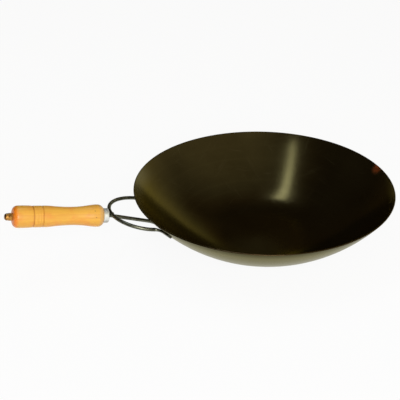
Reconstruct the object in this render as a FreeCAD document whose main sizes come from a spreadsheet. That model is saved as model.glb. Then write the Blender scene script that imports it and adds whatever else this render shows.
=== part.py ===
import FreeCAD, Part
import math
import os

import Sketcher

# A carbon steel wok: a spun bowl with a flat base, and a turned wooden handle on a bent-wire bracket.
# Millimetres and degrees, +Z up. The origin is the centre of the base's underside; the handle points to -X.

# The wall is part of a sphere. The wire's ends are pressed flat and lie on the wall as feet, so the middles
# of the feet are circles on a second sphere about the same centre, the seat sphere.

SIZES = {
    # Bowl
    "rim_diameter": 356,
    "bowl_depth": 73.5,
    "base_diameter": 163,
    # Radius of the bend between base and wall, as a share of the wall's own radius
    "knuckle_share": 0.6066,
    "sheet_thickness": 1.5,
    # Rounding of a cut or pressed edge, as a share of the metal's thickness
    "edge_share": 0.55,
    # Wire loop, bent in one plane and then tilted up
    "wire_diameter": 4.8,
    "loop_radius": 45,
    "leg_length": 1.9,
    "loop_tilt": 13.7,
    "foot_drop": 8.3,
    "foot_bend_radius": 9,
    "foot_length": 13,
    # Section of a foot, where the wire is pressed flat
    "foot_thickness": 2,
    "foot_width": 9,
    # Tie rod: the strut below the loop, and the rod through the handle
    "handle_tilt": 10.4,
    "rod_kink": 9.6,
    "rod_bend_radius": 18,
    "rod_foot_bend_radius": 42,
    "rod_foot_length": 16,
    "thread_engagement": 6,
    # Ferrule
    "ferrule_diameter": 19,
    "ferrule_length": 7.5,
    "ferrule_wall": 1,
    "ferrule_corner": 1.8,
    # Grip, from the ferrule's shoulder to the butt
    "grip_length": 116.6,
    "nose_step": 1,
    "nose_rise": 3.9,
    "crest_setback": 6.8,
    "crest_share": 0.33,
    "waist_depth": 2.7,
    "band_rise": 1.95,
    "band_share": 0.25,
    "band_width": 15.8,
    "knob_length": 25.2,
    "knob_crown": 0.5,
    "butt_round": 6.5,
    "ring_groove_radius": 0.8,
    "ring_groove_spacing": 12.2,
    "fine_groove_radius": 0.35,
    "fine_groove_setback": 5,
    "fine_groove_spacing": 3.5,
    # Cap nut
    "nut_across_flats": 9.5,
    "nut_hex_height": 4.6,
    "nut_crown_height": 5.2,
    "nut_crown_inset": 0.3,
    "nut_crown_round": 3.2,
    "nut_chamfer": 0.6,
    # Welds, and the clearances of the fits
    "weld_radius": 1.6,
    "weld_spread": 0.4,
    "weld_rise": 0.6,
    "crossing_spread": 3.2,
    "root_gap": 0.2,
    "rod_clearance": 0.3,
    "tenon_clearance": 0.1,
    "thread_clearance": 0.1,
}

DERIVED = {
    # Sphere of the wall, through the rim's edge and the base's corner
    "rim_radius": "rim_diameter / 2",
    "wall_centre": "(rim_radius^2 + bowl_depth^2 - (base_diameter / 2)^2) / (2 * bowl_depth)",
    "wall_radius": "sqrt((base_diameter / 2)^2 + wall_centre^2)",
    "wall_inside": "wall_radius - sheet_thickness",
    "knuckle_radius": "knuckle_share * wall_radius",
    "rim_curve": "edge_share * sheet_thickness",
    "knuckle_inside": "knuckle_radius - sheet_thickness",
    "knuckle_run": "wall_radius - knuckle_radius",
    "flat_radius": "sqrt(knuckle_run^2 - (wall_centre - knuckle_radius)^2)",
    "knuckle_sine": "flat_radius / knuckle_run",
    "knuckle_cosine": "(wall_centre - knuckle_radius) / knuckle_run",
    "rim_sine": "rim_radius / wall_radius",
    "rim_cosine": "(wall_centre - bowl_depth) / wall_radius",
    # Seat sphere and the tilted circle that the loop's feet follow
    "wire_radius": "wire_diameter / 2",
    "foot_half": "foot_thickness / 2",
    "foot_flat": "(foot_width - foot_thickness) / 2",
    "foot_edge": "edge_share * foot_thickness",
    "seat_radius": "wall_radius + root_gap + foot_half",
    "foot_fall": "wall_centre - bowl_depth + foot_drop",
    "foot_reach": "sqrt(seat_radius^2 - foot_fall^2)",
    "ring_radius": "foot_reach * cos(loop_tilt) - foot_fall * sin(loop_tilt)",
    "ring_depth": "foot_reach * sin(loop_tilt) + foot_fall * cos(loop_tilt)",
    "foot_lean": "asin(ring_depth / seat_radius) / 1 deg",
    "ring_x": "-ring_depth * sin(loop_tilt)",
    "ring_z": "wall_centre - ring_depth * cos(loop_tilt)",
    # Loop in its own plane, about the middle of that circle
    "bend_reach": "ring_radius + foot_bend_radius",
    "foot_start": "asin((loop_radius + foot_bend_radius) / bend_reach) / 1 deg",
    "foot_turn": "foot_length / ring_radius * 180 / pi",
    "leg_end": "bend_reach * cos(foot_start)",
    "leg_start": "leg_end + leg_length",
    "apex_reach": "leg_start + loop_radius",
    # Crossing of rod and loop, and the handle's front end on its axis
    "crossing_gap": "wire_diameter + root_gap",
    "crossing_x": "ring_x - apex_reach * cos(loop_tilt) - crossing_gap * sin(loop_tilt)",
    "crossing_z": "ring_z + apex_reach * sin(loop_tilt) - crossing_gap * cos(loop_tilt)",
    "ferrule_gap": "wire_radius + root_gap - crossing_gap * sin(loop_tilt - handle_tilt)",
    "handle_x": "crossing_x - ferrule_gap * cos(handle_tilt)",
    "handle_z": "crossing_z + ferrule_gap * sin(handle_tilt)",
    "butt_end": "ferrule_length + grip_length",
    # Rod: strut from the crossing down to its foot on the wall
    "strut_tilt": "handle_tilt + rod_kink",
    "rod_bend_run": "rod_bend_radius * tan(rod_kink / 2)",
    "rod_reach": "ferrule_gap + butt_end + thread_engagement",
    "strut_offset": "rod_foot_bend_radius - crossing_x * sin(strut_tilt)"
                    " + (wall_centre - crossing_z) * cos(strut_tilt)",
    "strut_run": "-crossing_x * cos(strut_tilt) - (wall_centre - crossing_z) * sin(strut_tilt)"
                 " - sqrt((seat_radius + rod_foot_bend_radius)^2 - strut_offset^2)",
    "strut_end_x": "crossing_x + strut_run * cos(strut_tilt)",
    "strut_end_z": "crossing_z - strut_run * sin(strut_tilt)",
    "rod_foot_top": "asin((rod_foot_bend_radius * sin(strut_tilt) - strut_end_x)"
                    " / (seat_radius + rod_foot_bend_radius)) / 1 deg",
    "rod_foot_turn": "rod_foot_length / seat_radius * 180 / pi",
    "rod_foot_low": "rod_foot_top - rod_foot_turn",
    # Handle radii, each from the collar outwards
    "rod_bore_radius": "wire_radius + rod_clearance",
    "ferrule_radius": "ferrule_diameter / 2",
    "ferrule_inside": "ferrule_radius - ferrule_wall",
    "tenon_radius": "ferrule_inside - tenon_clearance",
    "tenon_start": "ferrule_wall + tenon_clearance",
    "nose_radius": "ferrule_radius + nose_step",
    "crest_radius": "nose_radius + nose_rise",
    "waist_radius": "crest_radius - waist_depth",
    "band_radius": "waist_radius + band_rise",
    # Grip stations along the axis, and the radii of its turned curves
    "crest_station": "ferrule_length + crest_setback",
    "knob_station": "butt_end - knob_length",
    "band_station": "knob_station - band_width",
    "waist_station": "(crest_station + band_station) / 2",
    "waist_run": "waist_station - crest_station",
    "nose_curve": "(crest_setback^2 + nose_rise^2) / (2 * nose_rise)",
    "crest_sum": "(waist_run^2 + waist_depth^2) / (2 * waist_depth)",
    "crest_curve": "crest_share * crest_sum",
    "crest_hollow": "crest_sum - crest_curve",
    "crest_turn_station": "crest_station + crest_share * waist_run",
    "crest_turn_radius": "crest_radius - crest_share * waist_depth",
    "band_sum": "(waist_run^2 + band_rise^2) / (2 * band_rise)",
    "band_curve": "band_share * band_sum",
    "band_hollow": "band_sum - band_curve",
    "band_turn_station": "band_station - band_share * waist_run",
    "band_turn_radius": "band_radius - band_share * band_rise",
    "knob_curve": "((knob_length / 2)^2 + knob_crown^2) / (2 * knob_crown)",
    # Cap nut
    "nut_crown_radius": "nut_across_flats / 2 - nut_crown_inset",
    "nut_height": "nut_hex_height + nut_crown_height",
    "nut_corner": "nut_across_flats / sqrt(3)",
    "nut_bore_radius": "wire_radius + thread_clearance",
    "nut_bore_depth": "thread_engagement + thread_clearance",
    # Weld beads beside the feet, as circles on a sphere a little outside the wall
    "bead_radius": "wall_radius + weld_rise",
    "bead_shift": "(foot_width / 2 + weld_spread) / wall_radius * 180 / pi",
    "loop_bead_angle": "foot_lean + bead_shift",
}

doc = FreeCAD.newDocument("wok")
sheet = doc.addObject("Spreadsheet::Sheet", "Sizes")
cells = [(name, str(number)) for name, number in SIZES.items()]
cells += [(name, "=" + formula) for name, formula in DERIVED.items()]
for row, (name, text) in enumerate(cells, start=1):
    sheet.set("A%d" % row, name)
    sheet.set("B%d" % row, text)
    sheet.setAlias("B%d" % row, name)
doc.recompute()

# Places of the loop's tilted plane and of the handle's axis. The other pieces are in the bowl's own frame.
LOOP_PLACE = "placement(vector(Sizes.ring_x; 0; Sizes.ring_z); rotation(vector(0; 1; 0); Sizes.loop_tilt))"
HANDLE_PLACE = ("placement(vector(Sizes.handle_x; 0; Sizes.handle_z);"
                " rotation(vector(0; -1; 0); 90 - Sizes.handle_tilt))")


def measure(expression):
    """The number that an expression of the sheet's sizes gives now."""
    return float(sheet.evalExpression(expression))


def make_body(name, place=None):
    """An empty body with its label, in the bowl's frame or at a place bound to the sheet."""
    body = doc.addObject("PartDesign::Body", name)
    body.Label = name
    if place:
        body.setExpression("Placement", place)
    return body


def origin_feature(body, role):
    """One of a body's own origin planes or axes."""
    return next(feature for feature in body.Origin.OriginFeatures if feature.Role == role)


def new_sketch(body, name, plane):
    """An empty sketch on one of the body's origin planes."""
    sketch = body.newObject("Sketcher::SketchObject", name)
    sketch.AttachmentSupport = [(origin_feature(body, plane), "")]
    sketch.MapMode = "FlatFace"
    return sketch


def pin(sketch, geometry, end, corner):
    """Holds one end of a piece of sketch geometry at a corner whose two distances are expressions."""
    for kind, expression in zip(("DistanceX", "DistanceY"), corner):
        rule = Sketcher.Constraint(kind, -1, 1, geometry, end, measure(expression))
        index = sketch.addConstraint(rule)
        sketch.setExpression("Constraints[%d]" % index, expression)


def draw(sketch, corners, bends=None, closed=True):
    """Draws lines and arcs through the corners. Bends maps an edge's number to the expression of its radius
    and +1 or -1, for an arc that turns left or right on its way. Every corner and radius is bound."""
    bends = bends or {}
    points = [FreeCAD.Vector(measure(x), measure(y), 0) for x, y in corners]
    count = len(corners) if closed else len(corners) - 1
    ends = []
    for edge in range(count):
        start = points[edge]
        finish = points[(edge + 1) % len(points)]
        if edge not in bends:
            index = sketch.addGeometry(Part.LineSegment(start, finish), False)
            ends.append((index, 1, 2))
            continue
        radius, turn = bends[edge]
        index = sketch.addGeometry(arc_between(start, finish, measure(radius), turn), False)
        ends.append((index, 1, 2) if turn > 0 else (index, 2, 1))
        rule = sketch.addConstraint(Sketcher.Constraint("Radius", index, measure(radius)))
        sketch.setExpression("Constraints[%d]" % rule, radius)
    for edge, (index, first, last) in enumerate(ends):
        pin(sketch, index, first, corners[edge])
        if edge + 1 < count or closed:
            follower, follower_first, _ = ends[(edge + 1) % count]
            sketch.addConstraint(Sketcher.Constraint("Coincident", index, last, follower, follower_first))
    if not closed:
        index, _, last = ends[-1]
        pin(sketch, index, last, corners[-1])


def arc_between(start, finish, radius, turn):
    """The arc of at most half a turn from start to finish; turn is +1 for left and -1 for right."""
    chord = finish - start
    height = math.sqrt(max(radius**2 - chord.Length**2 / 4, 0))
    side = FreeCAD.Vector(-chord.y, chord.x, 0).normalize() * turn
    centre = (start + finish) / 2 + side * height
    first, last = (start, finish) if turn > 0 else (finish, start)
    angles = [math.atan2(point.y - centre.y, point.x - centre.x) for point in (first, last)]
    return Part.ArcOfCircle(Part.Circle(centre, FreeCAD.Vector(0, 0, 1), radius), *angles)


def draw_circle(sketch, corner, radius):
    """A circle whose centre and radius are bound to the sheet."""
    centre = FreeCAD.Vector(measure(corner[0]), measure(corner[1]), 0)
    circle = Part.Circle(centre, FreeCAD.Vector(0, 0, 1), measure(radius))
    index = sketch.addGeometry(circle, False)
    pin(sketch, index, 3, corner)
    rule = sketch.addConstraint(Sketcher.Constraint("Radius", index, measure(radius)))
    sketch.setExpression("Constraints[%d]" % rule, radius)


def revolve(body, kind, sketch, name):
    """A full turn of a sketch about its upright axis, added or cut."""
    feature = body.newObject("PartDesign::" + kind, name)
    feature.Profile = sketch
    feature.ReferenceAxis = (sketch, ["V_Axis"])
    feature.Angle = 360
    return feature


def sweep(body, profile, path, name, last_profile=None):
    """A wire: a profile along a path of lines and tangent arcs, which may turn into another on its way."""
    feature = body.newObject("PartDesign::AdditivePipe", name)
    feature.Profile = profile
    feature.Spine = path
    if last_profile:
        feature.Sections = [last_profile]
        feature.Transformation = "Multisection"
    return feature


def new_path(body, name, plane, corners, bends):
    """A sketch of one open path of lines and arcs."""
    path = new_sketch(body, name, plane)
    draw(path, corners, bends, closed=False)
    return path


def wire_section(body, name, plane, place):
    """The round wire, drawn as four arcs that match the four edges of a foot's section."""
    section = new_sketch(body, name, plane)
    section.setExpression("AttachmentOffset", place)
    corners = [("Sizes.wire_radius * cos(%d)" % angle, "Sizes.wire_radius * sin(%d)" % angle)
               for angle in (-45, 45, 135, 225)]
    draw(section, corners, {edge: ("Sizes.wire_radius", 1) for edge in range(4)})
    return section


def foot_section(body, name, plane, place):
    """The wire pressed flat: thin along the sketch's first axis, wide along its second, with round edges."""
    section = new_sketch(body, name, plane)
    section.setExpression("AttachmentOffset", place)
    corners = [("Sizes.foot_half", "-Sizes.foot_flat"),
               ("Sizes.foot_half", "Sizes.foot_flat"),
               ("-Sizes.foot_half", "Sizes.foot_flat"),
               ("-Sizes.foot_half", "-Sizes.foot_flat")]
    draw(section, corners, {1: ("Sizes.foot_edge", 1), 3: ("Sizes.foot_edge", 1)})
    return section


def repeat_along_axis(body, feature, length, name):
    """A second copy of a cut, further along the body's upright axis."""
    pattern = body.newObject("PartDesign::LinearPattern", name)
    pattern.Originals = [feature]
    pattern.Direction = (origin_feature(body, "Z_Axis"), [""])
    pattern.setExpression("Length", length)
    pattern.Occurrences = 2
    body.Tip = pattern
    return pattern


def make_bowl():
    """One sheet, turned about the upright axis: flat base, knuckle, wall and a rounded cut rim."""
    body = make_body("bowl")
    profile = new_sketch(body, "bowl_profile", "XZ_Plane")
    corners = [
        ("0", "0"),
        ("Sizes.flat_radius", "0"),
        ("Sizes.wall_radius * Sizes.knuckle_sine",
         "Sizes.wall_centre - Sizes.wall_radius * Sizes.knuckle_cosine"),
        ("Sizes.rim_radius", "Sizes.bowl_depth"),
        ("Sizes.wall_inside * Sizes.rim_sine", "Sizes.wall_centre - Sizes.wall_inside * Sizes.rim_cosine"),
        ("Sizes.wall_inside * Sizes.knuckle_sine",
         "Sizes.wall_centre - Sizes.wall_inside * Sizes.knuckle_cosine"),
        ("Sizes.flat_radius", "Sizes.sheet_thickness"),
        ("0", "Sizes.sheet_thickness"),
    ]
    bends = {
        1: ("Sizes.knuckle_radius", 1),
        2: ("Sizes.wall_radius", 1),
        3: ("Sizes.rim_curve", 1),
        4: ("Sizes.wall_inside", -1),
        5: ("Sizes.knuckle_inside", -1),
    }
    draw(profile, corners, bends)
    revolve(body, "Revolution", profile, "bowl_sheet")
    return body


def make_bracket_loop():
    """Half of the U is swept from its apex to its leg, pressed flat round the bend and laid along the wall as
    a foot. The other half is its mirror image."""
    body = make_body("bracket_loop", LOOP_PLACE)
    apex = ("-Sizes.apex_reach", "0")
    leg_end = ("-Sizes.leg_end", "Sizes.loop_radius")
    foot_top = ("-Sizes.ring_radius * cos(Sizes.foot_start)", "Sizes.ring_radius * sin(Sizes.foot_start)")
    foot_end = ("-Sizes.ring_radius * cos(Sizes.foot_start + Sizes.foot_turn)",
                "Sizes.ring_radius * sin(Sizes.foot_start + Sizes.foot_turn)")
    leg_path = new_path(body, "leg_path", "XY_Plane",
                        [apex, ("-Sizes.leg_start", "Sizes.loop_radius"), leg_end],
                        {0: ("Sizes.loop_radius", -1)})
    bend_path = new_path(body, "bend_path", "XY_Plane",
                         [leg_end, foot_top], {0: ("Sizes.foot_bend_radius", 1)})
    foot_path = new_path(body, "foot_path", "XY_Plane",
                         [foot_top, foot_end], {0: ("Sizes.ring_radius", -1)})
    apex_round = new_sketch(body, "apex_round", "XZ_Plane")
    draw_circle(apex_round, apex, "Sizes.wire_radius")
    leg_round = wire_section(
        body, "leg_round", "YZ_Plane",
        "placement(vector(Sizes.loop_radius; 0; -Sizes.leg_end);"
        " rotation(vector(0; 0; 1); -Sizes.foot_lean))")
    foot_flat = foot_section(
        body, "foot_flat", "XZ_Plane",
        "placement(vector(0; 0; 0); rotation(vector(0; 1; 0); 180 - Sizes.foot_start))"
        " * placement(vector(Sizes.ring_radius; 0; 0); rotation(vector(0; 0; 1); -Sizes.foot_lean))")
    half = [sweep(body, apex_round, leg_path, "half_loop"),
            sweep(body, leg_round, bend_path, "pressed_bend", foot_flat),
            sweep(body, foot_flat, foot_path, "loop_foot")]
    whole = body.newObject("PartDesign::Mirrored", "whole_loop")
    whole.Originals = half
    whole.MirrorPlane = (origin_feature(body, "XZ_Plane"), [""])
    body.Tip = whole
    return body


def make_tie_rod():
    """The rod runs from the cap nut through the grip, bends under the loop and ends in a flat foot."""
    body = make_body("tie_rod")
    rod_end = ("Sizes.crossing_x - Sizes.rod_reach * cos(Sizes.handle_tilt)",
               "Sizes.crossing_z + Sizes.rod_reach * sin(Sizes.handle_tilt)")
    strut_end = ("Sizes.strut_end_x", "Sizes.strut_end_z")
    foot_top = ("-Sizes.seat_radius * sin(Sizes.rod_foot_top)",
                "Sizes.wall_centre - Sizes.seat_radius * cos(Sizes.rod_foot_top)")
    foot_end = ("-Sizes.seat_radius * sin(Sizes.rod_foot_low)",
                "Sizes.wall_centre - Sizes.seat_radius * cos(Sizes.rod_foot_low)")
    rod_corners = [
        rod_end,
        ("Sizes.crossing_x - Sizes.rod_bend_run * cos(Sizes.handle_tilt)",
         "Sizes.crossing_z + Sizes.rod_bend_run * sin(Sizes.handle_tilt)"),
        ("Sizes.crossing_x + Sizes.rod_bend_run * cos(Sizes.strut_tilt)",
         "Sizes.crossing_z - Sizes.rod_bend_run * sin(Sizes.strut_tilt)"),
        strut_end,
    ]
    rod_path = new_path(body, "rod_path", "XZ_Plane", rod_corners, {1: ("Sizes.rod_bend_radius", -1)})
    bend_path = new_path(body, "rod_bend_path", "XZ_Plane",
                         [strut_end, foot_top], {0: ("Sizes.rod_foot_bend_radius", -1)})
    foot_path = new_path(body, "rod_foot_path", "XZ_Plane",
                         [foot_top, foot_end], {0: ("Sizes.seat_radius", 1)})
    across = "placement(vector(%s; 0; %s); rotation(vector(0; 1; 0); 90 + %s))"
    rod_round = wire_section(body, "rod_round", "XY_Plane", across % (*rod_end, "Sizes.handle_tilt"))
    strut_round = wire_section(body, "strut_round", "XY_Plane", across % (*strut_end, "Sizes.strut_tilt"))
    foot_flat = foot_section(body, "rod_foot_flat", "XY_Plane", across % (*foot_top, "Sizes.rod_foot_top"))
    sweep(body, rod_round, rod_path, "rod_wire")
    sweep(body, strut_round, bend_path, "pressed_rod_bend", foot_flat)
    sweep(body, foot_flat, foot_path, "rod_foot")
    return body


def make_ferrule():
    """A drawn steel cup over the grip's tenon, with a hole for the rod in its front face."""
    body = make_body("ferrule", HANDLE_PLACE)
    profile = new_sketch(body, "ferrule_profile", "XZ_Plane")
    corners = [
        ("Sizes.rod_bore_radius", "0"),
        ("Sizes.ferrule_radius - Sizes.ferrule_corner", "0"),
        ("Sizes.ferrule_radius", "Sizes.ferrule_corner"),
        ("Sizes.ferrule_radius", "Sizes.ferrule_length"),
        ("Sizes.ferrule_inside", "Sizes.ferrule_length"),
        ("Sizes.ferrule_inside", "Sizes.ferrule_wall"),
        ("Sizes.rod_bore_radius", "Sizes.ferrule_wall"),
    ]
    draw(profile, corners, {1: ("Sizes.ferrule_corner", 1)})
    revolve(body, "Revolution", profile, "ferrule_cup")
    return body


def make_handle_grip():
    """Turned wood: tenon, rounded nose, crest, waist, ring band and knob, with a bore for the rod."""
    body = make_body("handle_grip", HANDLE_PLACE)
    profile = new_sketch(body, "grip_profile", "XZ_Plane")
    corners = [
        ("Sizes.rod_bore_radius", "Sizes.tenon_start"),
        ("Sizes.tenon_radius", "Sizes.tenon_start"),
        ("Sizes.tenon_radius", "Sizes.ferrule_length"),
        ("Sizes.nose_radius", "Sizes.ferrule_length"),
        ("Sizes.crest_radius", "Sizes.crest_station"),
        ("Sizes.crest_turn_radius", "Sizes.crest_turn_station"),
        ("Sizes.waist_radius", "Sizes.waist_station"),
        ("Sizes.band_turn_radius", "Sizes.band_turn_station"),
        ("Sizes.band_radius", "Sizes.band_station"),
        ("Sizes.band_radius", "Sizes.knob_station"),
        ("Sizes.band_radius", "Sizes.butt_end"),
        ("Sizes.rod_bore_radius", "Sizes.butt_end"),
    ]
    bends = {
        3: ("Sizes.nose_curve", 1),
        4: ("Sizes.crest_curve", 1),
        5: ("Sizes.crest_hollow", -1),
        6: ("Sizes.band_hollow", -1),
        7: ("Sizes.band_curve", 1),
        9: ("Sizes.knob_curve", 1),
    }
    draw(profile, corners, bends)
    turned = revolve(body, "Revolution", profile, "grip_turning")
    doc.recompute()
    rounded = body.newObject("PartDesign::Fillet", "butt_rounding")
    rounded.Base = (turned, [edge_at(turned, "Sizes.band_radius", "Sizes.butt_end")])
    rounded.setExpression("Radius", "Sizes.butt_round")
    cuts = [("ring", "Sizes.knob_station - Sizes.ring_groove_spacing"),
            ("fine", "Sizes.knob_station - Sizes.fine_groove_setback - Sizes.fine_groove_spacing")]
    for kind, station in cuts:
        section = new_sketch(body, kind + "_groove_section", "XZ_Plane")
        draw_circle(section, ("Sizes.band_radius", station), "Sizes.%s_groove_radius" % kind)
        groove = revolve(body, "Groove", section, kind + "_groove")
        repeat_along_axis(body, groove, "Sizes.%s_groove_spacing" % kind, kind + "_groove_pair")
    return body


def edge_at(feature, radius, station):
    """The name of the round edge of a turned feature that has this radius and place along the axis."""
    for number, edge in enumerate(feature.Shape.Edges, start=1):
        if edge.Curve.TypeId != "Part::GeomCircle":
            continue
        same_radius = math.isclose(edge.Curve.Radius, measure(radius), abs_tol=1e-4)
        if same_radius and math.isclose(edge.Curve.Center.z, measure(station), abs_tol=1e-4):
            return "Edge%d" % number
    raise RuntimeError("no edge at " + radius)


def make_cap_nut():
    """A low hexagon with chamfered corners under a rounded crown, bored from below for the rod's end."""
    body = make_body("cap_nut", HANDLE_PLACE)
    seat = "placement(vector(0; 0; Sizes.butt_end); rotation(vector(0; 0; 1); 0))"
    hexagon = new_sketch(body, "nut_hexagon", "XY_Plane")
    hexagon.setExpression("AttachmentOffset", seat)
    corners = [("Sizes.nut_corner * cos(%d)" % angle, "Sizes.nut_corner * sin(%d)" % angle)
               for angle in range(0, 360, 60)]
    draw(hexagon, corners)
    prism = body.newObject("PartDesign::Pad", "nut_prism")
    prism.Profile = hexagon
    prism.setExpression("Length", "Sizes.nut_hex_height")
    hex_top = "Sizes.butt_end + Sizes.nut_hex_height"
    trim = new_sketch(body, "nut_chamfer_section", "XZ_Plane")
    draw(trim, [("Sizes.nut_across_flats / 2", hex_top),
                ("Sizes.nut_corner * 2", hex_top),
                ("Sizes.nut_corner * 2", hex_top + " - Sizes.nut_chamfer * 2"),
                ("Sizes.nut_corner", hex_top + " - Sizes.nut_chamfer")])
    revolve(body, "Groove", trim, "nut_chamfer")
    nut_top = "Sizes.butt_end + Sizes.nut_height"
    crown = new_sketch(body, "nut_crown_section", "XZ_Plane")
    draw(crown, [("0", hex_top),
                 ("Sizes.nut_crown_radius", hex_top),
                 ("Sizes.nut_crown_radius", nut_top + " - Sizes.nut_crown_round"),
                 ("Sizes.nut_crown_radius - Sizes.nut_crown_round", nut_top),
                 ("0", nut_top)], {2: ("Sizes.nut_crown_round", 1)})
    revolve(body, "Revolution", crown, "nut_crown")
    bore = new_sketch(body, "nut_bore_section", "XZ_Plane")
    draw(bore, [("0", "Sizes.butt_end"),
                ("Sizes.nut_bore_radius", "Sizes.butt_end"),
                ("Sizes.nut_bore_radius", "Sizes.butt_end + Sizes.nut_bore_depth"),
                ("0", "Sizes.butt_end + Sizes.nut_bore_depth")])
    revolve(body, "Groove", bore, "nut_bore")
    return body


def make_bead(name, place, ring, sweep_angle, tools):
    """A short round bead along a circle, cut back to the faces that it joins."""
    bead = doc.addObject("Part::Torus", name)
    bead.setExpression("Radius1", ring)
    bead.setExpression("Radius2", "Sizes.weld_radius")
    bead.setExpression("Angle3", sweep_angle)
    bead.setExpression("Placement", place)
    return cut_back(bead, tools)


def cut_back(solid, tools):
    """The solid less each tool in turn."""
    for tool in tools:
        cut = doc.addObject("Part::Cut", "%s_less_%s" % (solid.Name, tool.Name))
        cut.Base = solid
        cut.Tool = tool
        solid = cut
    return solid


def make_group(name, members):
    """Separate solids under one label."""
    group = doc.addObject("Part::Compound", name)
    group.Label = name
    group.Links = members
    return group


def make_wall_sphere():
    """The sphere that the outside of the wall is part of, for cutting the welds back to it."""
    sphere = doc.addObject("Part::Sphere", "wall_sphere")
    sphere.setExpression("Radius", "Sizes.wall_radius")
    middle = "placement(vector(0; 0; Sizes.wall_centre); rotation(vector(0; 0; 1); 0))"
    sphere.setExpression("Placement", middle)
    return sphere


def make_loop_foot_welds(wall, loop):
    """One bead along the lower edge of each foot of the loop."""
    ring = "Sizes.bead_radius * cos(Sizes.loop_bead_angle)"
    height = "Sizes.ring_depth - Sizes.bead_radius * sin(Sizes.loop_bead_angle)"
    starts = {"left": "180 + Sizes.foot_start", "right": "180 - Sizes.foot_start - Sizes.foot_turn"}
    beads = []
    for side, start in starts.items():
        turned = "placement(vector(0; 0; %s); rotation(vector(0; 0; 1); %s))" % (height, start)
        place = LOOP_PLACE + " * " + turned
        beads.append(make_bead("loop_bead_" + side, place, ring, "Sizes.foot_turn", [loop, wall]))
    return make_group("loop_foot_welds", beads)


def make_rod_foot_welds(wall, rod):
    """One bead along each edge of the rod's foot."""
    beads = []
    for side, sign in {"left": "-", "right": ""}.items():
        place = ("placement(vector(0; %sSizes.bead_radius * sin(Sizes.bead_shift); Sizes.wall_centre);"
                 " rotation(vector(1; 0; 0); -90))"
                 " * placement(vector(0; 0; 0); rotation(vector(0; 0; 1); 90 + Sizes.rod_foot_low))" % sign)
        ring = "Sizes.bead_radius * cos(Sizes.bead_shift)"
        beads.append(make_bead("rod_bead_" + side, place, ring, "Sizes.rod_foot_turn", [rod, wall]))
    return make_group("rod_foot_welds", beads)


def make_crossing_weld(loop, rod):
    """A round of weld metal in the corner where the loop lies across the rod, on the bowl's side."""
    ball = doc.addObject("Part::Sphere", "crossing_ball")
    ball.setExpression("Radius", "Sizes.wire_radius")
    ball.setExpression(
        "Placement",
        LOOP_PLACE + " * placement("
        "vector(Sizes.crossing_spread - Sizes.apex_reach; 0; -Sizes.crossing_gap / 2);"
        " rotation(vector(0; 0; 1); 0))")
    return make_group("crossing_weld", [cut_back(ball, [loop, rod])])


bowl = make_bowl()
bracket_loop = make_bracket_loop()
tie_rod = make_tie_rod()
ferrule = make_ferrule()
handle_grip = make_handle_grip()
cap_nut = make_cap_nut()
wall_sphere = make_wall_sphere()
loop_foot_welds = make_loop_foot_welds(wall_sphere, bracket_loop)
rod_foot_welds = make_rod_foot_welds(wall_sphere, tie_rod)
crossing_weld = make_crossing_weld(bracket_loop, tie_rod)
doc.recompute()

nodes = [bowl, bracket_loop, tie_rod, ferrule, handle_grip, cap_nut,
         loop_foot_welds, rod_foot_welds, crossing_weld]

for item in doc.Objects:
    if {"Invalid", "Error"} & set(item.State):
        raise RuntimeError("%s failed: %s" % (item.Name, item.State))
for node in nodes:
    if node.Shape.isNull() or not node.Shape.isValid() or not node.Shape.Solids:
        raise RuntimeError("%s has no sound shape" % node.Label)

os.makedirs("parts", exist_ok=True)
for node in nodes:
    node.Shape.exportStep("parts/%s.step" % node.Label)
    print("%-16s %d solid(s), %.1f mm3" % (node.Label, len(node.Shape.Solids), node.Shape.Volume))
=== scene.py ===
# %% [markdown]
# # A carbon steel wok
# A wok of this kind is one spun sheet of steel and a turned wooden handle on a bracket of bent wire. The CAD
# model already holds every piece in its true place and size. The lesson loads those solids, spins the bowl
# once more for an even rim, and gives each piece the finish of the real thing.

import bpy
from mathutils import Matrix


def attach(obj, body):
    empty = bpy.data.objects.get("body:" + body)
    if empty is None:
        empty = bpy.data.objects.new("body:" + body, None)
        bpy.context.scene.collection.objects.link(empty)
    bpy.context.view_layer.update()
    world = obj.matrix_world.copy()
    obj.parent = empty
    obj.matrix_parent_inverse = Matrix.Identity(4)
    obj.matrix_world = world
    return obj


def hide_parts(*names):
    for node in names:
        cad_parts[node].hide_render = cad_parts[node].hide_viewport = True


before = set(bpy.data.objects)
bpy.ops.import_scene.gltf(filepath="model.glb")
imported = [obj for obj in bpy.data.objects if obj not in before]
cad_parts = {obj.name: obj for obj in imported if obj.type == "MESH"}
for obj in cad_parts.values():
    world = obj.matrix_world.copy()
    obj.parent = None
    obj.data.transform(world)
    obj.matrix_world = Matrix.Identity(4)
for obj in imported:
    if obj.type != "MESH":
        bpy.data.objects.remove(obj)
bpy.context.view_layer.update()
print("pieces:", ", ".join(sorted(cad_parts)))

# %% [markdown]
# ## The camera
# The photograph looks down at the rim by about 29 degrees from just over a metre away, with the handle to
# the left. The rim is an ellipse whose proportions give that angle. A long lens keeps the near and the far
# side of the rim nearly alike. The picture is square, so the lens follows from the sensor's whole width.

# %% Camera
import bpy
from mathutils import Vector

CAMERA_PLACE = (-0.4655, -0.9983, 0.6576)
CAMERA_AIM = Vector((0.3061, 0.8203, -0.4831))
LENS_MM, SENSOR_MM = 81.64, 36

lens = bpy.data.cameras.new("photo_camera")
lens.sensor_width = SENSOR_MM
lens.lens = LENS_MM
camera = bpy.data.objects.new("photo_camera", lens)
camera.location = CAMERA_PLACE
camera.rotation_mode = "QUATERNION"
camera.rotation_quaternion = CAMERA_AIM.to_track_quat("-Z", "Y")
bpy.context.scene.collection.objects.link(camera)
bpy.context.scene.camera = camera
bpy.context.scene.view_settings.view_transform = "Standard"
print("camera at", CAMERA_PLACE, "with a lens of", LENS_MM, "mm")

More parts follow.
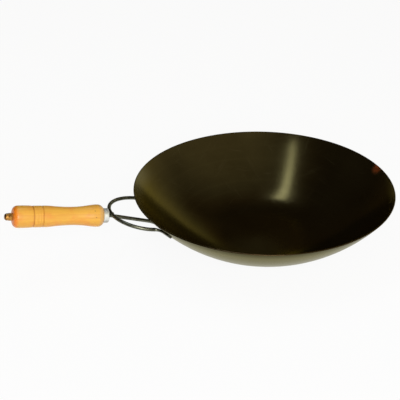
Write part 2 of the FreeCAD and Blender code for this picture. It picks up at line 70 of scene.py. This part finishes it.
# %% [markdown]
# ## Lamps
# Steel shows what it reflects, so each lamp is placed by where its reflection falls. The bright streak on the
# far wall, traced back from the camera over the bowl's curve, leads to one straight strip of light overhead,
# above the handle. A broad lamp beside the camera lights the wood. It hangs low, because a bowl seen from
# above reflects nothing below the middle of the sky on that side.

# %% Lamps
from math import radians

BOWL_MIDDLE = Vector((0, 0, 0.03))


def area_lamp(name, place, length, width, watts):
    """A rectangular lamp at a place, facing straight down."""
    lamp = bpy.data.lights.new(name, "AREA")
    lamp.shape = "RECTANGLE"
    lamp.size, lamp.size_y, lamp.energy = length, width, watts
    holder = bpy.data.objects.new(name, lamp)
    holder.location = place
    bpy.context.scene.collection.objects.link(holder)
    print(name, tuple(place), watts, "W")
    return holder


strip = area_lamp("strip_lamp", place=(-0.29, 0.214, 1.53), length=1.76, width=0.1, watts=4.6)
strip.rotation_euler.z = radians(50.7)
strip.data.color = (0.84, 1.0, 1.18)
front = area_lamp("front_lamp", place=(-0.6, -1.75, 0.95), length=1.1, width=1.1, watts=27)
front.data.shape = "DISK"
front.rotation_euler = (front.location - BOWL_MIDDLE).to_track_quat("Z", "Y").to_euler()

# %% [markdown]
# ## Shader maths as Python
# A finish is a tree of nodes, and most of the nodes only add or multiply. A small class that wraps a
# socket lets Python's own operators add those nodes, so the finishes below read as plain sums. Any other
# kind of node comes from its one method.

# %% Sockets that can be added and multiplied
class Socket:
    """One output of a shader node. Arithmetic on it adds Math nodes to the same tree."""

    def __init__(self, tree, output):
        self.tree = tree
        self.output = output

    def node(self, kind, settings=None, sockets=None, out=0):
        """Adds a node: its settings first, then its sockets by name or number. Gives one of its outputs."""
        node = self.tree.nodes.new(kind)
        for name, value in (settings or {}).items():
            setattr(node, name, value)
        for key, value in (sockets or {}).items():
            if isinstance(value, Socket):
                self.tree.links.new(value.output, node.inputs[key])
            else:
                node.inputs[key].default_value = value
        return Socket(self.tree, node.outputs[out])

    def other(self, name):
        """Another output of the same node."""
        return Socket(self.tree, self.output.node.outputs[name])

    def maths(self, operation, first, second=0.0):
        return self.node("ShaderNodeMath", {"operation": operation}, {0: first, 1: second})

    def __add__(self, other):
        return self.maths("ADD", self, other)

    def __sub__(self, other):
        return self.maths("SUBTRACT", self, other)

    def __mul__(self, other):
        return self.maths("MULTIPLY", self, other)

    def __pow__(self, other):
        return self.maths("POWER", self, other)

    def __rsub__(self, other):
        return self.maths("SUBTRACT", other, self)

    def __abs__(self):
        return self.maths("ABSOLUTE", self)

    __radd__ = __add__
    __rmul__ = __mul__

    def fade(self, low, high):
        """0 below low, 1 above high, and a soft step between them; low may be the larger."""
        return self.node("ShaderNodeMapRange", {"interpolation_type": "SMOOTHSTEP"},
                         {"Value": self, "From Min": low, "From Max": high})


print("operators ready:", [name for name in vars(Socket) if name.startswith("__r")])

# %% [markdown]
# ## Starting and ending a finish
# Every finish begins and ends alike: an empty tree with coordinates at one end and an output at the other.
# Three small helpers do that, and a fourth mixes two colours by a factor, which is the commonest step of all.
# Object coordinates fix a pattern to the piece itself, in metres, whatever its mesh is like.

# %% Node trees
def start_tree(tree):
    """Empties a node tree and gives the socket of its Object coordinates."""
    tree.nodes.clear()
    return Socket(tree, tree.nodes.new("ShaderNodeTexCoord").outputs["Object"])


def new_finish(name):
    """A new material, and the socket that its pattern starts from."""
    material = bpy.data.materials.new(name)
    material.use_nodes = True
    return material, start_tree(material.node_tree)


def end_tree(shader, kind="ShaderNodeOutputMaterial"):
    """Joins a finished shader to the tree's output."""
    shader.tree.links.new(shader.output, shader.tree.nodes.new(kind).inputs["Surface"])


def tint(factor, under, over):
    """Two colours mixed by a factor."""
    return factor.node("ShaderNodeMix", {"data_type": "RGBA"}, {0: factor, 6: under, 7: over}, out=2)


print("helpers for every finish: start_tree, new_finish, end_tree, tint")

# %% [markdown]
# ## A white floor
# The floor is a sheet of pale paper, turned up at its far edge so that a low view ends in white too. It
# takes the wok's soft shadow, and it glows where the camera or a reflection sees it, so that it reads as
# white. More light would whiten it too, but it would bleach the wood. It lies a hair below the base, so that
# the two faces never fight for the same place.

# %% Floor
import bmesh

FLOOR_RADIUS, FLOOR_EDGE = 30, 1.7
FLOOR_DROP = 0.0002

paper, spot = new_finish("floor_paper")
seen = spot.node("ShaderNodeLightPath", out="Is Camera Ray")
seen = seen + seen.other("Is Glossy Ray") + seen.other("Is Transmission Ray")
matt = spot.node("ShaderNodeBsdfDiffuse", sockets={"Color": (0.95, 0.95, 0.95, 1)})
glow = spot.node("ShaderNodeEmission", sockets={"Color": (1, 1, 1, 1), "Strength": 1.0})
end_tree(spot.node("ShaderNodeMixShader", sockets={0: seen * 0.92, 1: matt, 2: glow}))

mesh = bmesh.new()
bmesh.ops.create_circle(mesh, cap_ends=True, segments=128, radius=FLOOR_RADIUS)
outline = [line for line in mesh.edges if line.is_boundary]
turned_up = bmesh.ops.extrude_edge_only(mesh, edges=outline)["geom"]
top = [part for part in turned_up if isinstance(part, bmesh.types.BMVert)]
bmesh.ops.translate(mesh, vec=(0, 0, FLOOR_EDGE), verts=top)
floor = bpy.data.objects.new("floor", bpy.data.meshes.new("floor"))
mesh.to_mesh(floor.data)
mesh.free()
floor.location.z = -FLOOR_DROP
floor.data.materials.append(paper)
bpy.context.scene.collection.objects.link(floor)
print("floor of", 2 * FLOOR_RADIUS, "m, turned up by", FLOOR_EDGE, "m")

# %% [markdown]
# ## A dim room
# Steel needs something dark to reflect, or it looks like chalk, so the room above the floor is dim and brown.
# A ceiling towards the camera is pale, and a bright wall stands low on the right. Both were found like the
# strip lamp, by following the reflections back. A picture of a studio would serve as well, but a few soft
# steps of the direction are easier to change.

# %% Room
DIM_BROWN, PALE_CREAM = (1, 0.62, 0.32, 1), (1, 0.94, 0.77, 1)

room = bpy.data.worlds.new("room")
bpy.context.scene.world = room
room.use_nodes = True
spot = start_tree(room.node_tree)
direction = spot.other("Generated")
east = direction.node("ShaderNodeSeparateXYZ", sockets={0: direction})
north, up = east.other("Y"), east.other("Z")
lean = 0.383 * east - 0.663 * north + 0.643 * up
ceiling = lean.maths("MAXIMUM", lean, 0.0) ** 2
bright_wall = east.fade(0.3, 0.65) * up.fade(0.65, 0.1)
horizon = up.fade(0.3, 0.05)
level = 0.035 + 0.6 * ceiling + 0.9 * bright_wall + 0.08 * horizon
room_colour = tint(level.fade(0.03, 0.3), DIM_BROWN, PALE_CREAM)
end_tree(spot.node("ShaderNodeBackground", sockets={"Color": room_colour, "Strength": level}),
         "ShaderNodeOutputWorld")
print("nodes in the room:", len(room.node_tree.nodes))

# %% [markdown]
# ## The bowl's section
# The real bowl is spun: a disc of sheet turns in a lathe and is pressed over a form. Blender's spin makes it
# in the same way, and it draws the section too, because a single vertex that is carried round a point leaves
# an arc. A few such arcs give the flat base, the bend, the wall, the rounded edge and the way back inside.
# The packed bowl has this very shape, but its rim is cut into uneven triangles that show as notches close
# by. Spun again from the same sizes, the rim is even.

# %% Bowl: section
from math import asin, atan2, cos, degrees, sin

SHEET = 0.0015
RIM_RADIUS, RIM_HEIGHT = 0.178, 0.0735
FLAT_RADIUS, BEND_RADIUS = 0.04968, 0.135006
WALL_CENTRE, WALL_RADIUS = 0.207102, 0.222561
WALL_MIDDLE = WALL_RADIUS - SHEET / 2
EDGE_RADIUS = 0.55 * SHEET
BEND_STEPS, WALL_STEPS, EDGE_STEPS = 10, 12, 12

bend_turn = atan2(FLAT_RADIUS, WALL_CENTRE - BEND_RADIUS)
slope = atan2(RIM_RADIUS, WALL_CENTRE - RIM_HEIGHT)
edge_turn = 2 * asin(SHEET / 2 / EDGE_RADIUS)
set_back = (EDGE_RADIUS ** 2 - (SHEET / 2) ** 2) ** 0.5
edge_middle = (WALL_MIDDLE * sin(slope) - set_back * cos(slope),
               WALL_CENTRE - WALL_MIDDLE * cos(slope) - set_back * sin(slope))
mesh = bmesh.new()


def draw_to(start, x, z):
    """A straight line in the section; gives its last vertex."""
    last = mesh.verts.new((x, 0, z))
    mesh.edges.new((start, last))
    return last


def draw_round(start, middle, turn, steps):
    """An arc in the section, round a middle; gives its last vertex."""
    arc = bmesh.ops.spin(mesh, geom=[start], cent=(middle[0], 0, middle[1]), axis=(0, -1, 0),
                         angle=turn, steps=steps)
    return [part for part in arc["geom_last"] if isinstance(part, bmesh.types.BMVert)][0]


pen = draw_to(mesh.verts.new((0, 0, 0)), FLAT_RADIUS, 0)
pen = draw_round(pen, (FLAT_RADIUS, BEND_RADIUS), bend_turn, BEND_STEPS)
pen = draw_round(pen, (0, WALL_CENTRE), slope - bend_turn, WALL_STEPS)
pen = draw_round(pen, edge_middle, edge_turn, EDGE_STEPS)
pen = draw_round(pen, (0, WALL_CENTRE), bend_turn - slope, WALL_STEPS)
pen = draw_round(pen, (FLAT_RADIUS, BEND_RADIUS), -bend_turn, BEND_STEPS)
draw_to(pen, 0, SHEET)
print("points in the section:", len(mesh.verts))
print("the wall leans at", round(degrees(slope), 1), "degrees at the rim")

# %% [markdown]
# ## The bowl, spun
# One full turn about the upright axis makes the bowl. Spinning leaves a copy of each end vertex on the axis
# at every step, so doubles are merged, and then the faces are turned outwards. They are shaded smooth, but
# the two corners of the rim stay sharp, or the shading of the wall would bend round them. The new bowl rides
# on the frame in place of the packed one.

# %% Bowl: one full turn
ROUND_STEPS = 240
SAME_PLACE = 0.000001
SHARPEST_SMOOTH = 20

bmesh.ops.spin(mesh, geom=mesh.verts[:] + mesh.edges[:], cent=(0, 0, 0), axis=(0, 0, 1),
               angle=radians(360), steps=ROUND_STEPS, use_merge=True)
bmesh.ops.remove_doubles(mesh, verts=mesh.verts, dist=SAME_PLACE)
bmesh.ops.recalc_face_normals(mesh, faces=mesh.faces)
for face in mesh.faces:
    face.smooth = True
for line in mesh.edges:
    line.smooth = line.calc_face_angle(0) < radians(SHARPEST_SMOOTH)
bowl = bpy.data.objects.new("spun_bowl", bpy.data.meshes.new("spun_bowl"))
mesh.to_mesh(bowl.data)
mesh.free()
bpy.context.scene.collection.objects.link(bowl)
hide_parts("bowl")
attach(bowl, "root")
print("faces:", len(bowl.data.polygons), "size:", [round(side, 5) for side in bowl.dimensions])

# %% [markdown]
# ## Helpers for the finishes
# Colours are written as a screen shows them, and `paint` makes them linear, which is what a shader takes.
# Noise gives soft random values. Noise on stretched coordinates runs out into long thin marks, which serve as
# grain and as scratches, and noise of a single number makes rings and bands.

# %% Paint, noise and long marks
def paint(red, green, blue):
    """A colour as it is seen on a screen, 0 to 255, as a linear colour."""
    parts = [part / 255 for part in (red, green, blue)]
    return (*[part / 12.92 if part <= 0.04045 else ((part + 0.055) / 1.055) ** 2.4 for part in parts], 1)


def split(vector):
    """The three numbers of a vector."""
    x = vector.node("ShaderNodeSeparateXYZ", sockets={0: vector})
    return x, x.other("Y"), x.other("Z")


def distance(place, point):
    """How far a place is from a fixed point, in metres."""
    return place.node("ShaderNodeVectorMath", {"operation": "DISTANCE"}, {0: place, 1: point}, out="Value")


def noise(place, scale, detail=2.0, dimensions="3D"):
    """Soft random values from 0 to 1; 1D noise reads a single number."""
    key = "W" if dimensions == "1D" else "Vector"
    return place.node("ShaderNodeTexNoise", {"noise_dimensions": dimensions},
                      {key: place, "Scale": scale, "Detail": detail}, out="Fac")


def long_marks(place, turn, stretch):
    """Coordinates turned about Z by some degrees and stretched along the new Y, and downwards."""
    return place.node("ShaderNodeMapping", {"vector_type": "TEXTURE"},
                      {"Vector": place, "Rotation": (0, 0, radians(turn)), "Scale": (1, stretch, stretch)})


def roughen(height, strength, depth):
    """A bump of some depth in metres, for a shader's Normal."""
    return height.node("ShaderNodeBump", sockets={"Strength": strength, "Distance": depth, "Height": height})


def set_finish(material, *names):
    """Puts a material on the CAD pieces with these names."""
    for name in names:
        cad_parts[name].data.materials[0] = material
    print(material.name, "on", ", ".join(names))


print("orange as a shader sees it:", [round(part, 3) for part in paint(230, 170, 60)])

# %% [markdown]
# ## Spun carbon steel: telling the faces apart
# The bowl is one sheet, spun over a form on a lathe, so its inside, its outside and its cut edge are one
# mesh with one material. Painting three materials on chosen faces would also work, but it would tie the
# finish to one mesh. Here position tells them apart. On the base and its bend, the face that looks upwards is
# the inside. The wall is part of a sphere: what is nearer to its middle than half-way through the sheet is
# the inside, and the cut edge lies about half-way.

# %% Bowl: inside, outside and edge
steel, spot = new_finish("spun_carbon_steel")
x, y, z = split(spot)
radius = (x * x + y * y) ** 0.5
facing_up = split(spot.node("ShaderNodeNewGeometry", out="Normal"))[2]
past_middle = distance(spot, (0, 0, WALL_CENTRE)) - WALL_MIDDLE
wall = radius.fade(0.128, 0.136)
inside = wall * past_middle.fade(0.0002, -0.0002) + (1 - wall) * facing_up.fade(-0.1, 0.3)
cut_edge = abs(past_middle).fade(0.0006, 0.0004) * z.fade(0.0685, 0.0705)
print("masks: inside, cut edge")

# %% [markdown]
# ## Spun carbon steel: colour
# The tool that pressed the spinning sheet left fine rings on both faces. Inside lies a thin coat of oil that
# was baked on: dark olive, with paler bands, small scuffs from a ladle, and one rusty spot at the rim where
# it is missing. Outside the steel is bare and satin. Towards the rim it is painted straw yellow and then dark
# brown: painted shade, standing in for the shadowed floor that the wall mirrors under the rim. The coat also
# thins out at the rim beside the handle, where cloths and hands rub it.

# %% Bowl: coat, bare steel and wear
RUST_SPOT = (0.1752, -0.0045, 0.0723)
RINGS_PER_METRE = 900

blotch = noise(spot, 14, 4)
rings = noise(radius + 0.0004 * blotch, RINGS_PER_METRE, 3, "1D")
bands = noise(radius, 130, 2, "1D")
first, second, third = [noise(long_marks(spot, turn, 30), 420, 2).fade(0.66, 0.76) for turn in (15, 70, 128)]
scuffs = first + second + third
rust = distance(spot, RUST_SPOT).fade(0.013, 0.002) * noise(spot, 260, 3).fade(0.25, 0.55) * inside

coat = tint(blotch.fade(0.35, 0.7), paint(58, 50, 27), paint(66, 58, 33))
coat = tint(bands.fade(0.5, 0.75) * 0.3, coat, paint(70, 62, 36))
coat = tint(scuffs * 0.25, coat, paint(92, 84, 60))
coat = tint(rust * 0.85, coat, paint(134, 50, 8))
bare = tint(blotch.fade(0.35, 0.7), paint(97, 93, 74), paint(107, 103, 84))
bare = tint(rings.fade(0.45, 0.7) * 0.5, bare, paint(82, 77, 60))
# painted shade: the outer wall turns yellower, then dark brown towards the rim, for the shadowed floor it
# mirrors there
bare = tint(z.fade(0.040, 0.066) * 0.5 * (1 - inside), bare, paint(98, 90, 48))
bare = tint(z.fade(0.060, 0.075) * (1 - inside), bare, paint(34, 26, 4))
bare = tint(cut_edge, bare, paint(64, 50, 32))
rubbed = radius.fade(0.160, 0.177) * x.fade(-0.04, -0.15) * y.fade(0.125, 0.09)
coated = inside * (1 - cut_edge) * (1 - 0.65 * rubbed)
print("rings about every", round(1000 / RINGS_PER_METRE, 1), "mm")

# %% [markdown]
# ## Spun carbon steel: gloss
# Baked oil and bare steel reflect differently: the coat gives back a yellowish light, the bare sheet a grey
# one. One shader can't hold two reflections, so a Mix Shader lays the coat over the steel by the mask made
# above. Both are a little anisotropic, which draws highlights out across the spinning rings. The steel was
# burnished most at the base, so it is rougher towards the rim. The coat is duller in two places: where a
# ladle scrapes the near side of the base, and along the rim opposite the handle.

# %% Bowl: two shaders, mixed
LADLE_SPOT = (-0.035, -0.045, 0.0015)

worn = 0.2 * distance(spot, LADLE_SPOT).fade(0.065, 0.025) + 0.12 * x.fade(0.13, 0.165)
rough = 0.14 + 2.0 * radius * radius + 0.06 * (rings - 0.5) + 0.06 * (blotch - 0.5) + 0.08 * scuffs
bump = roughen(rings - 0.4 * scuffs, 0.3, 0.00003)
outer = spot.node("ShaderNodeBsdfPrincipled", sockets={
    "Base Color": bare, "Metallic": 1.0, "Roughness": rough + 0.06, "Normal": bump,
    "Anisotropic": 0.3, "Anisotropic Rotation": 0.25, "Specular Tint": (0.8, 0.78, 0.62, 1)})
inner = spot.node("ShaderNodeBsdfPrincipled", sockets={
    "Base Color": coat, "Metallic": 0.9 - 0.7 * rust, "Roughness": rough + worn + 0.3 * rust, "Normal": bump,
    "Anisotropic": 0.3, "Anisotropic Rotation": 0.25, "Specular Tint": (1.0, 0.9, 0.48, 1)})
end_tree(spot.node("ShaderNodeMixShader", sockets={0: coated, 1: outer, 2: inner}))
bowl.data.materials.append(steel)
print(steel.name, "on", bowl.name)

# %% [markdown]
# ## Bracket wire
# The loop and the rod are drawn steel wire, left dark by the forge and by oil. The scale is uneven, so noise
# mixes a dark and a paler grey and changes the gloss with them. The front of the loop, beside the ferrule, is
# rubbed brighter by the hand that holds the grip.

# %% Wire
wire, spot = new_finish("dark_drawn_wire")
x = split(spot)[0]
scale = noise(spot, 160, 4)
grit = noise(spot, 900, 3)
handled = x.fade(-0.196, -0.222) * scale.fade(0.4, 0.6)
colour = tint(scale.fade(0.35, 0.7), paint(74, 74, 62), paint(112, 112, 96))
colour = tint(handled * 0.3, colour, paint(148, 148, 134))
colour = tint(grit.fade(0.62, 0.72) * 0.4, colour, paint(70, 54, 38))
end_tree(spot.node("ShaderNodeBsdfPrincipled", sockets={
    "Base Color": colour, "Metallic": 1.0, "Roughness": 0.26 + 0.12 * scale,
    "Normal": roughen(grit, 0.3, 0.0001), "Specular Tint": (0.6, 0.6, 0.55, 1)}))
set_finish(wire, "bracket_loop", "tie_rod")

# %% [markdown]
# ## Welds
# Small beads join the feet to the wall, and the rod to the loop. Weld metal cools into lumps, with a skin
# that runs through straw and blue as its oxide grows. The beads are real solids. Their lumps are far too
# small for that, so a bump makes them, and a slower noise places the heat colours.

# %% Welds
weld, spot = new_finish("weld_metal")
lumps = noise(spot, 700, 3)
heat = noise(spot, 260, 2)
colour = tint(lumps.fade(0.4, 0.65), paint(52, 48, 42), paint(98, 92, 80))
colour = tint(heat.fade(0.45, 0.6) * 0.5, colour, paint(104, 78, 42))
colour = tint(heat.fade(0.58, 0.7) * 0.5, colour, paint(60, 64, 86))
end_tree(spot.node("ShaderNodeBsdfPrincipled", sockets={
    "Base Color": colour, "Metallic": 1.0, "Roughness": 0.4 + 0.2 * lumps,
    "Normal": roughen(lumps, 0.6, 0.0003)}))
set_finish(weld, "loop_foot_welds", "rod_foot_welds", "crossing_weld")

# %% [markdown]
# ## Ferrule
# The ferrule is a short bright tube that stops the front of the grip from splitting. It was turned to length
# from drawn tube, so its tool marks go round the handle. Its underside is painted darker: painted shade, as
# if it mirrored something dark below. The handle leans, and so must the tool marks: a Mapping node set to
# Texture undoes the lean, and its Z is then the distance along the handle from the ferrule's front.

# %% Ferrule
HANDLE_FRONT = (-0.22053, 0, 0.0715)
HANDLE_TILT = 10.4


def along_handle(spot):
    """Coordinates whose Z runs along the handle, from 0 at the ferrule's front."""
    lean = (0, radians(HANDLE_TILT - 90), 0)
    return spot.node("ShaderNodeMapping", {"vector_type": "TEXTURE"},
                     {"Vector": spot, "Location": HANDLE_FRONT, "Rotation": lean})


bright, spot = new_finish("bright_ferrule_steel")
station = split(along_handle(spot))[2]
turning = noise(station, 3500, 2, "1D")
smudge = noise(spot, 300, 3)
# painted shade: the underside is darkened, as if it mirrored something dark below
painted_shade_underside = split(spot)[2].fade(0.0720, 0.0660)
colour = tint(turning.fade(0.35, 0.65), paint(216, 218, 213), paint(236, 238, 233))
colour = tint(smudge.fade(0.5, 0.7) * 0.4, colour, paint(190, 188, 178))
colour = tint(painted_shade_underside * 0.7, colour, paint(140, 134, 120))
end_tree(spot.node("ShaderNodeBsdfPrincipled", sockets={
    "Base Color": colour, "Metallic": 1.0, "Roughness": 0.36 + 0.1 * smudge,
    "Normal": roughen(turning, 0.3, 0.00005)}))
set_finish(bright, "ferrule")

# %% [markdown]
# ## Cap nut
# A brass cap nut draws the whole handle together on the rod. Brass tarnishes brown where no hand polishes
# it, so the flats keep some shine. The colour is also made darker brown towards the domed end.

# %% Cap nut
brass, spot = new_finish("aged_brass")
station = split(along_handle(spot))[2]
tarnish = noise(spot, 420, 4)
colour = tint(tarnish.fade(0.35, 0.7), paint(206, 154, 80), paint(150, 100, 46))
# darker brown towards the domed end
colour = tint(station.fade(0.1305, 0.1336) * 0.7, colour, paint(84, 50, 20))
end_tree(spot.node("ShaderNodeBsdfPrincipled", sockets={
    "Base Color": colour, "Metallic": 1.0, "Roughness": 0.25 + 0.2 * tarnish,
    "Normal": roughen(tarnish, 0.2, 0.0001)}))
set_finish(brass, "cap_nut")

# %% [markdown]
# ## Turned wood: grain
# The grip was turned from one billet of pale hardwood. Growth rings are cylinders about the middle of the
# tree, which lies well outside so thin a billet, so they cross the grip as long lines. Noise squeezed to a
# twentieth along the handle gives fibres, and a finer one gives the short dark pores.

# %% Wood: grain
TREE_MIDDLE = 0.035
SPECKS = [(-0.23882, -0.00879, 0.08632), (-0.23879, -0.01364, 0.07922)]

wood, spot = new_finish("lacquered_wood")
along = along_handle(spot)
x, y, station = split(along)
fibre = spot.node("ShaderNodeVectorMath", {"operation": "MULTIPLY"}, {0: along, 1: (1, 1, 0.05)})
fibres = noise(fibre, 260, 4)
pores = noise(fibre, 1400, 2).fade(0.66, 0.74)
growth = ((x - TREE_MIDDLE) ** 2.0 + y * y) ** 0.5 + 0.004 * noise(fibre, 60, 2)
latewood = noise(growth, 420, 1, "1D")
cloud = noise(spot, 70, 2)
speck = sum(distance(spot, place).fade(0.0011, 0.0003) for place in SPECKS)

colour = tint(fibres.fade(0.3, 0.7), paint(224, 160, 50), paint(233, 174, 60))
colour = tint(cloud.fade(0.45, 0.7) * 0.5, colour, paint(228, 140, 48))
colour = tint(latewood.fade(0.5, 0.7) * 0.17, colour, paint(202, 124, 32))
colour = tint(pores * 0.4, colour, paint(158, 90, 32))
colour = tint(speck * 0.8, colour, paint(120, 66, 14))
print("dark specks:", len(SPECKS))

# %% [markdown]
# ## Turned wood: lines, ends and lacquer
# The turner scored two deep lines round the knob with a wire, which browns the wood by friction, and the end
# grain of the butt soaks up lacquer and goes darker. On the shoulder at the very front the lacquer has worn
# off, down to tan wood. It covers the rest: a clear coat over the colour, thinner on the crest where the hand
# rubs it.

# %% Wood: lines, ends and lacquer
FRONT_LINE, BACK_LINE, CREST = 0.0867, 0.0989, 0.0143

front_line, back_line = [abs(station - line).fade(0.0014, 0.0005) for line in (FRONT_LINE, BACK_LINE)]
colour = tint(front_line * 0.3, colour, paint(178, 108, 14))
colour = tint(back_line * 0.45, colour, paint(164, 96, 10))
colour = tint(station.fade(0.1165, 0.1225) * 0.9, colour, paint(238, 124, 0))
colour = tint(station.fade(0.0152, 0.0128) * 0.8, colour, paint(196, 154, 98))
thin = abs(station - CREST).fade(0.008, 0.002) * cloud.fade(0.4, 0.6)
colour = tint(thin * 0.3, colour, paint(240, 186, 84))
end_tree(spot.node("ShaderNodeBsdfPrincipled", sockets={
    "Base Color": colour, "Roughness": 0.45 + 0.1 * fibres, "Normal": roughen(0.0 - pores, 0.3, 0.0001),
    "Coat Weight": 0.4 - 0.2 * thin, "Coat Roughness": 0.3}))
set_finish(wood, "handle_grip")

# %% [markdown]
# ## Sizes, and the end
# The finishes change no shape, and the new bowl has the sizes of the packed one, so the box after dressing is
# the box of the CAD model.
